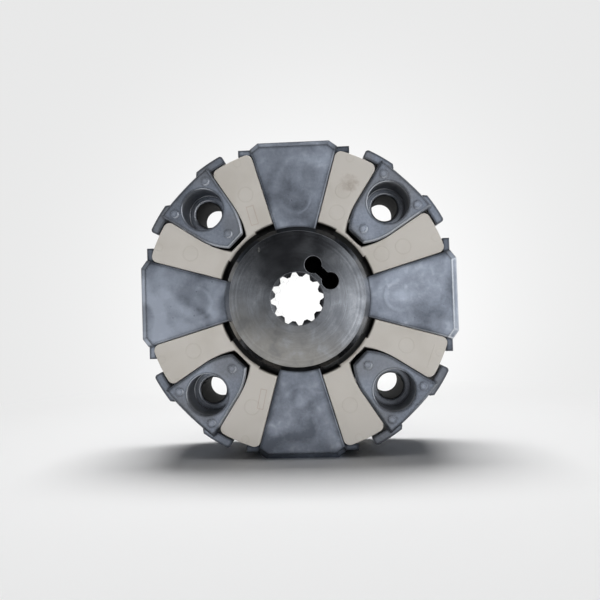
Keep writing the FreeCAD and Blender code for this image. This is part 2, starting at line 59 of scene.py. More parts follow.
HUB_STEEL_DARK = (0.15, 0.158, 0.175, 1)
HUB_STEEL_LIGHT = (0.38, 0.396, 0.425, 1)
HUB_STEEL_PALE = (0.50, 0.515, 0.545, 1)
HUB_STEEL_BORE = (0.85, 0.85, 0.84, 1)
HUB_LOW_WARM_TINT = (0.36, 0.345, 0.315, 1)
HUB_EDGE_BRIGHT = (0.7, 0.7, 0.68, 1)
PAINTED_SHADE_BLACK = (0.006, 0.006, 0.006, 1)
HUB_HALF_LENGTH = 30.0
HUB_RADIUS = 45.0
HUB_BORE_RADIUS = 16.8
HUB_LEAD_IN = 2.8
HUB_CHAMFER = 3.1
HUB_GROOVE_TILT = 0.05
HUB_LOW_TINT_HEIGHTS = (-6.0, -38.0)
HUB_CHAMFER_LIGHTER_SIDES = (30.0, 42.0)
HUB_NICK = (-22.7, 31.0)
HUB_NICK_SIZE = (0.7, 1.9)


class Wire:
    """One output of a material's nodes. Arithmetic on it adds Math nodes."""

    def __init__(self, finish, socket):
        self.finish = finish
        self.socket = socket

    def __add__(self, other):
        return self.finish.math("ADD", self, other)

    def __radd__(self, other):
        return self.finish.math("ADD", other, self)

    def __sub__(self, other):
        return self.finish.math("SUBTRACT", self, other)

    def __rsub__(self, other):
        return self.finish.math("SUBTRACT", other, self)

    def __mul__(self, other):
        return self.finish.math("MULTIPLY", self, other)

    def __truediv__(self, other):
        return self.finish.math("DIVIDE", self, other)

    def __neg__(self):
        return self.finish.math("MULTIPLY", self, -1)

    def __abs__(self):
        return self.finish.math("ABSOLUTE", self)


class Wiring:
    """The nodes of one material or world. Every node but a Math one comes from its method node."""

    def __init__(self, owner):
        self.owner = owner
        owner.use_nodes = True
        self.nodes = owner.node_tree.nodes

    def join(self, socket, value):
        """A socket takes a wire as a link and anything else as its value."""
        if isinstance(value, Wire):
            self.owner.node_tree.links.new(value.socket, socket)
        else:
            socket.default_value = value

    def node(self, kind, settings, sockets, output=0):
        """A node of that type: its settings first, then the values or links of its sockets."""
        made = self.nodes.new(f"ShaderNode{kind}")
        for setting, value in settings.items():
            setattr(made, setting, value)
        for socket, value in sockets.items():
            self.join(made.inputs[socket], value)
        return Wire(self, made.outputs[output])

    def math(self, operation, *values):
        return self.node("Math", {"operation": operation}, dict(enumerate(values)))

    def most(self, *values):
        return self.math("MAXIMUM", *values)

    def least(self, *values):
        return self.math("MINIMUM", *values)

    def root(self, value):
        return self.math("SQRT", value)

    def vector(self, operation, *values):
        return self.node("VectorMath", {"operation": operation}, dict(enumerate(values)))

    def millimetres(self, place=None):
        """Object coordinates in millimetres, or another place in metres."""
        place = place or self.node("TexCoord", {}, {}, "Object")
        return self.vector("MULTIPLY", place, (1000, 1000, 1000))

    def split(self, vector):
        return [self.node("SeparateXYZ", {}, {0: vector}, axis) for axis in "XYZ"]

    def noise(self, place, scale, detail=3.0, roughness=0.55, distortion=0.0):
        """Noise from 0 to 1, with scale in waves per millimetre."""
        sockets = {"Vector": place, "Scale": scale, "Detail": detail}
        sockets.update({"Roughness": roughness, "Distortion": distortion})
        return self.node("TexNoise", {}, sockets)

    def ripple(self, along, scale, detail=0.0):
        """Noise that changes along one wire only."""
        sockets = {"W": along, "Scale": scale, "Detail": detail}
        return self.node("TexNoise", {"noise_dimensions": "1D"}, sockets)

    def rise(self, value, low, high):
        """0 below low, 1 above high, and a smooth step between them."""
        sockets = {"Value": value, "From Min": low, "From Max": high}
        return self.node("MapRange", {"interpolation_type": "SMOOTHSTEP"}, sockets)

    def blend(self, first, second, share):
        """A colour between two others."""
        return self.node("Mix", {"data_type": "RGBA"}, {0: share, 6: first, 7: second}, 2)


class Finish(Wiring):
    """A material round one Principled shader."""

    def __init__(self, name, **fixed):
        super().__init__(bpy.data.materials.new(name))
        self.shader = self.nodes["Principled BSDF"]
        for socket, value in fixed.items():
            self.shader.inputs[socket.replace("_", " ")].default_value = value

    def rounded(self, radius):
        """The normal with every edge rounded to that radius in millimetres."""
        return self.node("Bevel", {"samples": 6}, {"Radius": radius * 0.001})

    def edge(self, rounded, low=0.02, high=0.25):
        """1 on edges, where the rounded normal leaves the true one."""
        true = self.node("NewGeometry", {}, {}, "True Normal")
        likeness = self.node("VectorMath", {"operation": "DOT_PRODUCT"}, {0: rounded, 1: true}, "Value")
        return self.rise(1 - likeness, low, high)

    def bump(self, height, depth, normal):
        """The normal tilted by a height wire that counts in millimetres once multiplied by depth."""
        return self.node("Bump", {}, {"Height": height, "Distance": depth * 0.001, "Normal": normal})

    def finish(self, **sockets):
        for socket, value in sockets.items():
            self.join(self.shader.inputs[socket.replace("_", " ")], value)
        return self.owner


def turned_steel():
    steel = Finish("turned_steel", Specular_IOR_Level=0.15)
    place = steel.millimetres()
    x, y, z = steel.split(place)
    radius = steel.root(x * x + z * z)
    from_end = HUB_HALF_LENGTH - abs(y)
    rounded = steel.rounded(0.35)
    edge = steel.edge(rounded)
    bore = steel.rise(radius, HUB_BORE_RADIUS + 0.1, HUB_BORE_RADIUS - 0.1)
    bore = bore * steel.rise(from_end, HUB_LEAD_IN, HUB_LEAD_IN + 0.3)

    # Tool grooves: the normal leans in and out along the radius, at random from groove to groove
    round_axis = steel.node("CombineXYZ", {}, {"X": z / radius, "Z": -x / radius})
    across = steel.vector("CROSS_PRODUCT", round_axis, rounded)
    groove = steel.ripple(radius + y * 0.7, 9.0, 1.0) - 0.5
    lean = groove * (1 - bore) * (2 * HUB_GROOVE_TILT)
    leaning = steel.node("VectorMath", {"operation": "SCALE"}, {0: across, "Scale": lean})
    grooved = steel.vector("NORMALIZE", steel.vector("ADD", rounded, leaning))

    # Colour: rings of the tool, clouds and stains, a warmer tint to the lower left, painted shade on the
    # chamfer but less at its sides, worn edges, a nick, a bright bore with painted shade on the tooth ends,
    # and painted shade in the slot, in the holes and on the outside
    rings = steel.ripple(radius + y * 0.7, 0.8, 3.0)
    clouds = steel.noise(place, 0.05, 3.0, 0.55, 0.4)
    speckle = steel.noise(place, 0.8, 4.0, 0.6)
    stains = steel.noise(place, 0.1, 4.0, 0.55, 0.3)
    light = rings * 0.7 + clouds * 0.8 + (stains - 0.5) * 0.5 + speckle * 0.4 - 0.5
    colour = steel.blend(HUB_STEEL_DARK, HUB_STEEL_LIGHT, light)
    # A warmer, paler tint towards the lower left of the face
    lowness = z + x * 0.4 + (stains - 0.5) * 40
    colour = steel.blend(colour, HUB_LOW_WARM_TINT, steel.rise(lowness, *HUB_LOW_TINT_HEIGHTS) * 0.7)
    colour = steel.blend(colour, HUB_STEEL_DARK, steel.rise(stains, 0.52, 0.3) * 0.45)
    colour = steel.blend(colour, HUB_STEEL_PALE, steel.rise(stains, 0.5, 0.72) * 0.3)
    # Painted shade darkens the chamfer, less at its left and right sides
    rim = steel.rise(radius, HUB_RADIUS - HUB_CHAMFER, HUB_RADIUS - HUB_CHAMFER + 0.4)
    colour = steel.blend(colour, PAINTED_SHADE_BLACK, rim * (0.85 - steel.rise(abs(x), *HUB_CHAMFER_LIGHTER_SIDES) * 0.75))
    nick_x = (x - HUB_NICK[0]) / HUB_NICK_SIZE[0]
    nick_z = (z - HUB_NICK[1]) / HUB_NICK_SIZE[1]
    front_end = steel.rise(y, 0.5 - HUB_HALF_LENGTH, 0.1 - HUB_HALF_LENGTH)
    nick = steel.rise(nick_x * nick_x + nick_z * nick_z, 1.2, 0.4) * front_end
    colour = steel.blend(colour, HUB_EDGE_BRIGHT, steel.most(edge * 0.35, nick))
    colour = steel.blend(colour, HUB_STEEL_BORE, bore)
    # Painted shade on the tooth ends inside the lead-in, on the walls of the slot and holes, and on the
    # outside
    shaded_tooth_ends = steel.rise(radius, HUB_BORE_RADIUS, HUB_BORE_RADIUS - 0.2)
    shaded_tooth_ends = shaded_tooth_ends * steel.rise(from_end, HUB_LEAD_IN, HUB_LEAD_IN - 0.3)
    colour = steel.blend(colour, PAINTED_SHADE_BLACK, shaded_tooth_ends * 0.6)
    wall = steel.rise(radius, HUB_BORE_RADIUS, HUB_BORE_RADIUS + 0.3)
    wall = wall * steel.rise(radius, HUB_RADIUS - 3.5, HUB_RADIUS - 4)
    holes = wall * steel.rise(from_end, 0.2, 1.0)
    outside = steel.rise(radius, HUB_RADIUS - 0.2, HUB_RADIUS) * steel.rise(from_end, 3.0, 5.0)
    painted_shade = steel.most(holes, outside)
    colour = steel.blend(colour, PAINTED_SHADE_BLACK, painted_shade)
    return steel.finish(
        Base_Color=colour,
        Metallic=1 - painted_shade,
        Roughness=0.07 + clouds * 0.1 - bore * 0.07 + painted_shade * 0.5,
        Normal=grooved,
    )


frame["nodes"]["hub"].data.materials.clear()
frame["nodes"]["hub"].data.materials.append(turned_steel())


# Clamp screw and radial bolts: hexagon-socket screws of black-oxide steel with rolled threads.
# The clamp screw crosses the slot to its inner wall; the bolts draw the radial inserts onto the hub.

SCREW_BLACK = (0.035, 0.036, 0.04, 1)
SCREW_WORN = (0.16, 0.16, 0.17, 1)
THREAD_PITCH = 1.75
SHANK_RADIUS = 6.1


def black_screw_steel(name, direction):
    """Black steel with a thread on the shank of a screw that lies along a direction, or along X or Z."""
    steel = Finish(name, Metallic=0.9)
    place = steel.millimetres()
    x, y, z = steel.split(place)
    if direction:
        along = x * direction[0] + z * direction[2]
        aside = x * direction[2] - z * direction[0]
    else:
        along = steel.most(abs(x), abs(z))
        aside = steel.least(abs(x), abs(z))
    rounded = steel.rounded(0.3)
    edge = steel.edge(rounded)
    shank = steel.rise(steel.root(aside * aside + y * y), SHANK_RADIUS + 0.2, SHANK_RADIUS)
    thread = steel.math("PINGPONG", along, THREAD_PITCH / 2) * shank
    grain = steel.noise(place, 1.2, 4.0, 0.6)
    return steel.finish(
        Base_Color=steel.blend(SCREW_BLACK, SCREW_WORN, edge * 0.7 + steel.rise(grain, 0.6, 0.8) * 0.25),
        Roughness=0.32 + grain * 0.2,
        Normal=steel.bump(thread + grain * 0.03, 1.0, rounded),
    )


def dress(node, material):
    """Gives a CAD node its material."""
    piece = frame["nodes"][node]
    piece.data.materials.clear()
    piece.data.materials.append(material)


QUARTERS = ("top", "right", "bottom", "left")
SLANT = math.sqrt(0.5)
dress("clamp_screw", black_screw_steel("clamp_screw_steel", (SLANT, 0, SLANT)))
bolt_steel = black_screw_steel("radial_bolt_steel", None)
for quarter in QUARTERS:
    dress(f"radial_bolt_{quarter}", bolt_steel)


# Roll pins: spring steel strip rolled to a slit tube, blued by its heat treatment.
# Two of them lock each radial insert to the hub.

PIN_BLUE = (0.12, 0.13, 0.16, 1)
PIN_STRAW = (0.24, 0.22, 0.18, 1)


def spring_steel():
    steel = Finish("spring_steel", Metallic=1.0)
    place = steel.millimetres()
    cloud = steel.noise(place, 0.25, 3.0)
    return steel.finish(
        Base_Color=steel.blend(PIN_BLUE, PIN_STRAW, steel.rise(cloud, 0.4, 0.65)),
        Roughness=0.28 + cloud * 0.2,
        Normal=steel.rounded(0.25),
    )


pin_steel = spring_steel()
for quarter in QUARTERS:
    for end in ("front", "rear"):
        dress(f"roll_pin_{quarter}_{end}", pin_steel)


# Radial inserts: wedges of die-cast aluminium, tumbled with stones, so that they are blue-grey and mottled
# with pale scuffs, small pits and soft edges. Each shows the ring that its casting gate left.

CAST_DARK = (0.12, 0.135, 0.165, 1)
CAST_LIGHT = (0.40, 0.44, 0.52, 1)
CAST_SCUFF = (0.66, 0.7, 0.78, 1)
CAST_EDGE_HIGHLIGHT = (0.85, 0.88, 0.93, 1)
CAST_SOIL = (0.2, 0.195, 0.19, 1)
GATE_RING_PLACE = 63.5
GATE_RING_RADIUS = 9.2
LEFT_INSERT_PAINTED_LIGHT = (45.0, 55.0)
LOWEST_INSERT_PAINTED_SHADE = (-45.0, -60.0)
EDGE_HIGHLIGHT_END = (50.0, 80.0)
FLANK_SLOPE = 0.289
FRONT_FACE = -25.0
BOLT_PLACE = 82.5 * math.sqrt(0.5)
BOLT_HOLE_RADIUS = 8.5
COUNTERBORE_RADIUS = 13.1
GAP_REACH = 95.0
INSERT_PALE = 72.0


def cast_aluminium(name, mottle, grain, gate_ring):
    """Cast metal, clouded by mottle and grained by grain, with a gate's ring on each wedge or without."""
    metal = Finish(name, Specular_IOR_Level=0.15)
    place = metal.millimetres()
    x, y, z = metal.split(place)
    radius = metal.root(x * x + z * z)
    rounded = metal.rounded(1.2)
    edge = metal.edge(metal.rounded(2.6), 0.002, 0.03)
    swells = metal.noise(place, 0.05, 0.0)
    clouds = metal.noise(place, 0.04, 1.5, 0.4, 0.8)
    patches = metal.noise(place, 0.2, 3.0, 0.5, 0.3)
    skin = metal.noise(place, 0.6, 4.0, 0.6)
    fine = metal.noise(place, 2.2, 3.0, 0.6)
    pits = metal.node("TexVoronoi", {}, {"Vector": place, "Scale": 0.19}, "Distance")
    pit = metal.rise(pits, 0.12, 0.05) * metal.rise(clouds, 0.55, 0.45)

    # Painted light: the left wedge is lighter and more blotchy
    left = metal.rise(-x, *LEFT_INSERT_PAINTED_LIGHT)
    blotches = (clouds - 0.5) * (2.0 + left * 1.3) + left * 0.36
    light = 0.45 + blotches * mottle + (patches - 0.5) * (0.55 * mottle)
    light = light + (skin - 0.5) * (0.4 * grain) + (fine - 0.5) * (0.3 * grain)
    height = swells * (1.2 * mottle) + patches * (0.12 * mottle) - pit * 0.15
    height = height + skin * (0.05 * grain) + fine * (0.02 * grain)
    if gate_ring:
        far = metal.most(abs(x), abs(z)) - GATE_RING_PLACE
        aside = metal.least(abs(x), abs(z))
        from_gate = metal.root(far * far + aside * aside)
        front = metal.rise(y, FRONT_FACE + 1, FRONT_FACE)
        ring = metal.rise(abs(from_gate - GATE_RING_RADIUS), 1.8, 0.2) * metal.rise(far, 3.0, -5.0) * front
        # Painted shade along the flanks and over the lowest wedge; the ring and its pale middle are the
        # gate's marks
        flank = metal.rise((far + GATE_RING_PLACE) * FLANK_SLOPE - aside, 5.0, 0.5)
        light = light + ring * 0.12 + metal.rise(from_gate, 6.0, 1.0) * front * 0.3
        light = light - flank * 0.3 - metal.rise(z, *LOWEST_INSERT_PAINTED_SHADE) * 0.12
        height = height + ring * 0.08
    else:
        mark = metal.rise(y, FRONT_FACE - 0.2, FRONT_FACE - 0.35)
        light = light + mark * 0.3 - metal.rise(radius, INSERT_PALE, GAP_REACH) * 0.2 + 0.05
    colour = metal.blend(CAST_DARK, CAST_LIGHT, metal.least(metal.most(light, 0.0), 1.0))
    scuff = metal.rise(patches, 0.5, 0.75) * metal.rise(clouds, 0.5, 0.66)
    outer = metal.rise(radius, GAP_REACH - 3, GAP_REACH + 1)
    colour = metal.blend(colour, CAST_SCUFF, scuff * (0.25 * mottle))
    colour = metal.blend(colour, CAST_DARK, pit * 0.7)
    colour = metal.blend(colour, CAST_SOIL, metal.rise(swells, 0.35, 0.65) * (0.5 * (1 - mottle)))

    # Painted highlight on edges that lean to the lower right, most on the flywheel inserts and at the front
    # end of the right wedge. The other edges get painted shade, a dark outline
    lean_x, _, lean_z = metal.split(rounded)
    front_end = metal.rise(x, *EDGE_HIGHLIGHT_END) * metal.rise(y, FRONT_FACE + 6, FRONT_FACE + 3)
    highlight_reach = metal.most((1 - outer) * (1 - 0.75 * mottle), front_end * mottle)
    edge_highlight = metal.rise(lean_x - lean_z, 0.05, 0.45) * highlight_reach
    colour = metal.blend(colour, PAINTED_SHADE_BLACK, edge * (1 - edge_highlight) * 0.7)
    colour = metal.blend(colour, CAST_EDGE_HIGHLIGHT, edge * edge_highlight * 0.8)

    # Painted shade blackens the sides that face the rubber and the bolt holes, and half as much the
    # counterbores' walls
    hole_x, hole_z = abs(x) - BOLT_PLACE, abs(z) - BOLT_PLACE
    from_hole = metal.root(hole_x * hole_x + hole_z * hole_z)
    depth = -FRONT_FACE - abs(y)
    sides = metal.rise(from_hole, COUNTERBORE_RADIUS + 0.2, COUNTERBORE_RADIUS + 0.5)
    sides = sides * metal.rise(radius, GAP_REACH, GAP_REACH - 2) * metal.rise(depth, 0.5, 2.5)
    hole = metal.rise(from_hole, BOLT_HOLE_RADIUS + 0.4, BOLT_HOLE_RADIUS + 0.1)
    bored = metal.rise(abs(from_hole - COUNTERBORE_RADIUS), 0.4, 0.2) * metal.rise(depth, 0.3, 6.0)
    painted_shade = metal.most(metal.most(sides, hole), bored * 0.55)
    colour = metal.blend(colour, PAINTED_SHADE_BLACK, painted_shade)
    return metal.finish(
        Base_Color=colour,
        Metallic=0.9 - painted_shade * 0.8,
        Roughness=0.33 + (clouds - 0.5) * 0.2 + painted_shade * 0.4,
        Normal=metal.bump(height, 1.0, rounded),
    )


tumbled = cast_aluminium("tumbled_aluminium", 1.0, 0.9, True)
for quarter in QUARTERS:
    dress(f"radial_insert_{quarter}", tumbled)


# Flywheel inserts: rounded triangles of the same cast metal, left with the grained skin of the die.
# Each is counterbored for a screw into the flywheel and shows three ejector marks.

as_cast = cast_aluminium("die_skin_aluminium", 0.3, 1.8, False)
for number in range(1, 5):
    dress(f"flywheel_insert_{number}", as_cast)


# Rubber elements: cream blocks moulded in pairs, with a thin web round the tip of each flywheel insert.
# They bend between the hub's inserts and the flywheel's. Each is made as two halves that meet in the web.

HALF_LENGTH = 24.6
WEB_INNER = 48.6
WEB_OUTER = 50.6
WEB_HALF_ANGLE = 14.0
BLOCK_INNER = 50.1
BLOCK_OUTER = 96.7
BLOCK_CORNER = 4.0
WEDGE_SIDE = 28.9
POCKET_SIDE = 12.0
POCKET_START = 72.0
POCKET_RADIUS = 57.5
RUBBER_GAP = 0.3
MOULD_EDGE = 0.6
INSERT_FLANK_RADIUS = 37.0
HUB_SIDE_SWELL = 1.2
SWELL_START = 5.0
BLEND_RADIUS = 75.0


def bow(centre, radius, first, last, steps=24):
    """Centre plus radius times (sine, cosine) of evenly spaced angles in degrees from the vertical."""
    angles = np.radians(np.linspace(first, last, steps))
    return np.array(centre) + radius * np.stack([np.sin(angles), np.cos(angles)], axis=1)


def spot(radius, angle):
    return bow((0, 0), radius, angle, angle, 1)[0]


def block_outline():
    """Half of an element, anticlockwise from the inside of the web's middle: the inner arcs of web and block,
    the outer arc between its rounded corners, and the pocket's arc back to the web."""
    reach = BLOCK_OUTER - BLOCK_CORNER
    lean = math.degrees(math.asin((BLOCK_CORNER + RUBBER_GAP) / reach))
    outside, inside = WEDGE_SIDE - lean, POCKET_SIDE + lean
    foot = WEDGE_SIDE - math.degrees(math.asin(RUBBER_GAP / BLOCK_INNER))
    across = spot(1, POCKET_SIDE + 90)
    middle = spot(POCKET_START, POCKET_SIDE) + across * (RUBBER_GAP - POCKET_RADIUS)
    tip = math.degrees(math.acos((WEB_OUTER - middle[1]) / POCKET_RADIUS))
    pieces = [
        bow((0, 0), WEB_INNER, 0, WEB_HALF_ANGLE),
        bow((0, 0), BLOCK_INNER, WEB_HALF_ANGLE, foot),
        bow(spot(reach, outside), BLOCK_CORNER, WEDGE_SIDE + 90, outside, 10),
        bow((0, 0), BLOCK_OUTER, outside, inside)[1:-1],
        bow(spot(reach, inside), BLOCK_CORNER, inside, POCKET_SIDE - 90, 10),
        bow(middle, POCKET_RADIUS, POCKET_SIDE + 90, tip),
        [[0, WEB_OUTER]],
    ]
    return np.concatenate(pieces)


def swelling(outline):
    """How far each point of half an element swells inside the mould: nearly to the insert's flank,
    and a little to the hub."""
    across = spot(1, POCKET_SIDE + 90)
    flank_centre = spot(POCKET_START, POCKET_SIDE) - across * INSERT_FLANK_RADIUS
    radius = np.hypot(outline[:, 0], outline[:, 1])
    turned = np.degrees(np.arctan2(outline[:, 0], outline[:, 1]))
    to_flank = np.hypot(*(outline - flank_centre).T) - INSERT_FLANK_RADIUS - RUBBER_GAP
    pocket = (turned < POCKET_SIDE) & (radius > WEB_OUTER) & (radius < POCKET_START)
    hub_side = (turned > WEB_HALF_ANGLE) & (np.abs(radius - BLOCK_INNER) < 0.01)
    return np.where(pocket, np.clip(to_flank, 0, 2.2), 0) + HUB_SIDE_SWELL * hub_side


def block_mesh(name, outline, swell):
    """The outline carried along the axis. At each end it moves in along its mitres by a quarter
    circle's depth, and further inside it moves out by its swelling."""
    ahead = np.roll(outline, -1, axis=0) - outline
    ahead /= np.linalg.norm(ahead, axis=1)[:, None]
    normal = np.stack([ahead[:, 1], -ahead[:, 0]], axis=1)
    mitre = normal + np.roll(normal, 1, axis=0)
    mitre /= np.maximum((mitre**2).sum(axis=1) / 2, 0.6)[:, None]
    turn = np.linspace(0, math.pi / 2, 5)
    inset = MOULD_EDGE * (1 - np.sin(turn))
    along = MOULD_EDGE * (1 - np.cos(turn)) - HALF_LENGTH
    inset = np.concatenate([inset, [0, 0, 0, 0], inset[::-1]])
    swollen = np.concatenate([np.zeros(len(turn)), [0.55, 1, 1, 0.55], np.zeros(len(turn))])
    inside = HALF_LENGTH - SWELL_START * np.array([0.6, 1.6])
    along = np.concatenate([along, -inside, inside[::-1], -along[::-1]])
    move = swollen[:, None] * swell - inset[:, None]
    flat = outline[None] + mitre[None] * move[:, :, None]
    rings, count = len(along), len(outline)
    points = np.stack([flat[..., 0], np.broadcast_to(along[:, None], (rings, count)), flat[..., 1]], axis=-1)
    index = np.arange(rings * count).reshape(rings, count)
    near, far = index[:-1], index[1:]
    walls = np.stack([near, far, np.roll(far, -1, axis=1), np.roll(near, -1, axis=1)], axis=-1).reshape(-1, 4)
    faces = walls.tolist() + [index[0].tolist(), index[-1][::-1].tolist()]
    mesh = bpy.data.meshes.new(name)
    mesh.from_pydata(points.reshape(-1, 3) * 0.001, [], faces)
    smooth = np.ones(len(faces), dtype=bool)
    smooth[-2:] = False
    mesh.polygons.foreach_set("use_smooth", smooth)
    mesh.set_sharp_from_angle(angle=math.radians(35))
    return mesh


def turned_about_axis(outline, angle):
    """The outline turned clockwise about the axis: (x, z) times the cosine and sine of the angle."""
    c, s = math.cos(math.radians(angle)), math.sin(math.radians(angle))
    return outline @ np.array([[c, -s], [s, c]])


RUBBER_CREAM = (0.56, 0.533, 0.495, 1)
RUBBER_SHADE = (0.46, 0.43, 0.385, 1)
RUBBER_BROWN = (0.15, 0.085, 0.045, 1)
RUBBER_PAINTED_SHADE = (0.09, 0.068, 0.048, 1)
RUBBER_RUST = (0.42, 0.3, 0.25, 1)
GATE_MARK = (66.8, 30.7, 4.7)
INNER_MARK = (53.3, 26.4, 4.7)
CORNER_MARKS = ((87.0, 35.5, 2.3), (77.2, 50.5, 2.3))
STAIN = (34.6, 71.4)
STAIN_SIZE = (6.5, 5.5)
PAINTED_SHADE_REACH = (56.0, 51.5)
MOULD_PLATES = ((-26.9, 53.5, 2.25, 6.0, 15.0), (-24.2, -62.0, 1.8, 6.2, -13.0))
PARTING_LINE = (81.4, -37.8, 0.1, 7.6, -21.0)


def cream_rubber():
    rubber = Finish("cream_rubber", Metallic=0.0, Specular_IOR_Level=0.35)
    place = rubber.millimetres(rubber.node("Attribute", {"attribute_name": "rest"}, {}, "Vector"))
    x, y, z = rubber.split(place)
    radius = rubber.root(x * x + z * z)
    front = rubber.rise(y, -HALF_LENGTH + 0.3, -HALF_LENGTH + 0.05)
    far = rubber.most(abs(x), abs(z))
    near = rubber.least(abs(x), abs(z))

    def circle(middle_far, middle_near, circle_radius):
        """1 on the moulded circle, which is a fine raised line."""
        away_far, away_near = far - middle_far, near - middle_near
        away = rubber.root(away_far * away_far + away_near * away_near)
        return rubber.rise(abs(away - circle_radius), 0.7, 0.0)

    def frame_line(middle_x, middle_z, half_width, half_height, degrees):
        """1 on the outline of a rectangle that is turned by so many degrees."""
        c, s = math.cos(math.radians(degrees)), math.sin(math.radians(degrees))
        across = abs((x - middle_x) * c + (z - middle_z) * s) - half_width
        up = abs((z - middle_z) * c - (x - middle_x) * s) - half_height
        return rubber.rise(abs(rubber.most(across, up)), 0.3, 0.05)

    upper_right = rubber.rise(x, 0, 1) * rubber.rise(z, 0, 1)
    lines = circle(*GATE_MARK) + circle(*INNER_MARK) * upper_right
    for mark in CORNER_MARKS:
        lines = lines + circle(*mark) * 0.7
    lines = (lines + frame_line(*PARTING_LINE)) * front
    plates = (frame_line(*MOULD_PLATES[0]) + frame_line(*MOULD_PLATES[1])) * front

    clouds = rubber.noise(place, 0.035, 3.0, 0.5, 0.4)
    speckle = rubber.noise(place, 1.3, 4.0, 0.6)
    stain_x, stain_z = (x - STAIN[0]) / STAIN_SIZE[0], (z - STAIN[1]) / STAIN_SIZE[1]
    cloudy = rubber.noise(place, 0.2, 3.0, 0.6)
    stain = rubber.rise(stain_x * stain_x + stain_z * stain_z + (cloudy - 0.5) * 3.0, 1.3, -0.8) * front
    # Painted shade: brown on the inner walls near the hub behind the front, and half of it on the web
    painted_inner_shade = rubber.most(
        rubber.rise(radius, *PAINTED_SHADE_REACH) * rubber.rise(y, -HALF_LENGTH + 0.2, -HALF_LENGTH + 3.0),
        rubber.rise(radius, WEB_OUTER, WEB_INNER + 0.2) * 0.5,
    )
    colour = rubber.blend(RUBBER_CREAM, RUBBER_SHADE, rubber.rise(clouds, 0.4, 0.75) * 0.6 + lines * 0.32)
    colour = rubber.blend(colour, RUBBER_RUST, plates * 0.55)
    colour = rubber.blend(colour, RUBBER_BROWN, stain * 0.55)
    colour = rubber.blend(colour, RUBBER_PAINTED_SHADE, painted_inner_shade * 0.85)
    # Painted shade: the sides that face the inserts go black behind the front
    sides = rubber.rise(abs(y), HALF_LENGTH - 0.7, HALF_LENGTH - 3.0)
    sides = sides * rubber.rise(radius, GAP_REACH, GAP_REACH - 2)
    colour = rubber.blend(colour, PAINTED_SHADE_BLACK, sides)
    smooth = rubber.node("NewGeometry", {}, {}, "Normal")
    return rubber.finish(
        Base_Color=colour,
        Roughness=0.55 + (speckle - 0.5) * 0.2,
        Normal=rubber.bump((lines + plates) * 0.09 + speckle * 0.02, 1.0, smooth),
    )


rubber = cream_rubber()
right_half = block_outline()
right_swell = swelling(right_half)
left_half = (right_half * (-1, 1))[::-1]
left_swell = right_swell[::-1]
halves = (("right", right_half, right_swell, 1), ("left", left_half, left_swell, -1))
for number in range(1, 5):
    middle = 90 * number - 45
    for side, outline, swell, lean in halves:
        name = f"rubber_element_{number}_{side}"
        mesh = block_mesh(name, turned_about_axis(outline, middle), swell)
        mesh.materials.append(rubber)
        places = np.empty(3 * len(mesh.vertices))
        mesh.vertices.foreach_get("co", places)
        mesh.attributes.new("rest", "FLOAT_VECTOR", "POINT").data.foreach_set("vector", places)
        half = bpy.data.objects.new(name, mesh)
        bpy.context.collection.objects.link(half)
        hub_x, hub_z = spot(BLEND_RADIUS, middle + lean * WEDGE_SIDE) * 0.001
        pocket_x, pocket_z = spot(BLEND_RADIUS, middle + lean * POCKET_SIDE) * 0.001
        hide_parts(f"element_{number}")
        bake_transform(half)


# Floor and backdrop: one pale sheet that runs back under the coupling and curves up behind it.
# It glows softly, as if a spot lit it from the camera's side. Near the coupling it is paper that the lamps
# light, so that the coupling's shadow falls on it.

FLOOR_HEIGHT = -0.1
FLOOR_NEAR = -1.6
SHEET_BEND_START = 0.9
SHEET_BEND_RADIUS = 0.8
SHEET_TOP = 2.4
SHEET_HALF_WIDTH = 2.6
SHEET_PAPER = (0.9, 0.9, 0.9, 1)
SHEET_TINT = (0.998, 1.0, 1.0, 1)
GLOW_DISTANCE = 0.3426
GLOW_EDGE = 0.811
GLOW_RISE = 0.25
GLOW_WIDTH = 0.358
PAPER_START = 0.16
PAPER_END = 0.34


def studio_sheet():
    """Rows of points across the sheet, at floor, quarter-circle and wall places along its profile."""
    turn = np.linspace(0, math.pi / 2, 25)
    bend_y = SHEET_BEND_START + SHEET_BEND_RADIUS * np.sin(turn)
    bend_z = FLOOR_HEIGHT + SHEET_BEND_RADIUS * (1 - np.cos(turn))
    along = np.concatenate([[FLOOR_NEAR], bend_y, [bend_y[-1]]])
    height = np.concatenate([[FLOOR_HEIGHT], bend_z, [SHEET_TOP]])
    across = np.array([-SHEET_HALF_WIDTH, SHEET_HALF_WIDTH])
    grid = np.stack(np.broadcast_arrays(across[None, :], along[:, None], height[:, None]), axis=-1)
    index = np.arange(2 * len(along)).reshape(-1, 2)
    faces = np.stack([index[:-1, 0], index[:-1, 1], index[1:, 1], index[1:, 0]], axis=-1)
    mesh = bpy.data.meshes.new("studio_sheet")
    mesh.from_pydata(grid.reshape(-1, 3), [], faces.tolist())
    mesh.polygons.foreach_set("use_smooth", np.ones(len(faces), dtype=bool))
    return mesh


